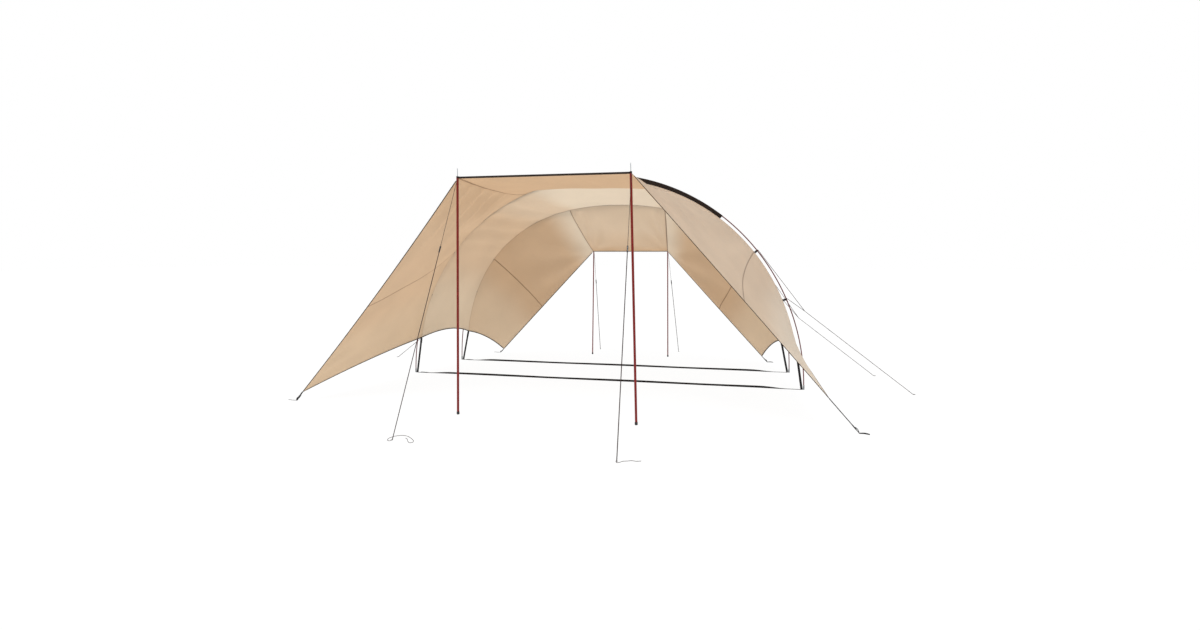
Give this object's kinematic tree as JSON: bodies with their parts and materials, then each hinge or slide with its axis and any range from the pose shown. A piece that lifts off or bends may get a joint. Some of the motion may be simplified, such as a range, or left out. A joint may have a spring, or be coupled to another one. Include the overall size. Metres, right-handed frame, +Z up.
{
  "type": "shade sail",
  "caption": "Arch-supported shade sail: a fabric canopy over two bent rods and straight end poles, held by ground straps, corner straps and guy lines.",
  "frame": {"origin": "on the ground, at the middle of the footprint, guy lines included", "axes": "+Z up, +X to the right seen from the front, +Y from the front poles to the rear poles"},
  "size_m": [7.064, 5.725, 2.4345],
  "materials": {
    "canopy_fabric": "coated polyester cloth, matt, slightly translucent",
    "black_binding": "woven binding tape and rod sleeve",
    "red_tube": "glossy red coated pole",
    "red_rod": "satin red coated arch rod with dark ends",
    "black_rubber": "matt",
    "black_webbing": "woven webbing",
    "black_plastic": "satin moulded",
    "guy_cord": "braided cord"
  },
  "bodies": {
    "root": {"front_flap_left": "canopy_fabric", "front_flap_right": "canopy_fabric", "front_visor_top": "canopy_fabric", "rear_flap_left": "canopy_fabric", "rear_flap_right": "canopy_fabric", "rear_visor_top": "canopy_fabric", "middle_bay_canopy": "canopy_fabric", "front_pole_left": "red_tube", "front_pole_right": "red_tube", "front_pole_foot_left": "black_rubber", "front_pole_foot_right": "black_rubber", "rear_pole_left": "red_tube", "rear_pole_right": "red_tube", "rear_pole_foot_left": "black_rubber", "rear_pole_foot_right": "black_rubber", "front_arch_rod": "red_rod", "rear_arch_rod": "red_rod", "front_arch_sleeve": "black_binding", "rear_arch_sleeve": "black_binding", "front_arch_clip_left_upper": "black_plastic", "front_arch_clip_left_lower": "black_plastic", "front_arch_clip_right_upper": "black_plastic", "front_arch_clip_right_lower": "black_plastic", "rear_arch_clip_left_upper": "black_plastic", "rear_arch_clip_left_lower": "black_plastic", "rear_arch_clip_right_upper": "black_plastic", "rear_arch_clip_right_lower": "black_plastic", "edge_binding_left": "black_binding", "edge_binding_right": "black_binding", "front_ridge_binding": "black_binding", "rear_ridge_binding": "black_binding", "front_ground_strap": "black_webbing", "rear_ground_strap": "black_webbing", "front_uplift_strap_left": "black_webbing", "front_uplift_strap_right": "black_webbing", "rear_uplift_strap_left": "black_webbing", "rear_uplift_strap_right": "black_webbing", "front_corner_strap_left": "black_webbing", "front_corner_strap_right": "black_webbing", "rear_corner_strap_left": "black_webbing", "rear_corner_strap_right": "black_webbing", "front_guy_left": "guy_cord", "front_guy_right": "guy_cord", "rear_guy_left": "guy_cord", "rear_guy_right": "guy_cord", "front_arch_guy_left": "guy_cord", "front_arch_guy_right": "guy_cord", "rear_arch_guy_left": "guy_cord", "rear_arch_guy_right": "guy_cord", "front_guy_tail_left": "guy_cord", "front_guy_tail_right": "guy_cord"}
  },
  "joints": []
}
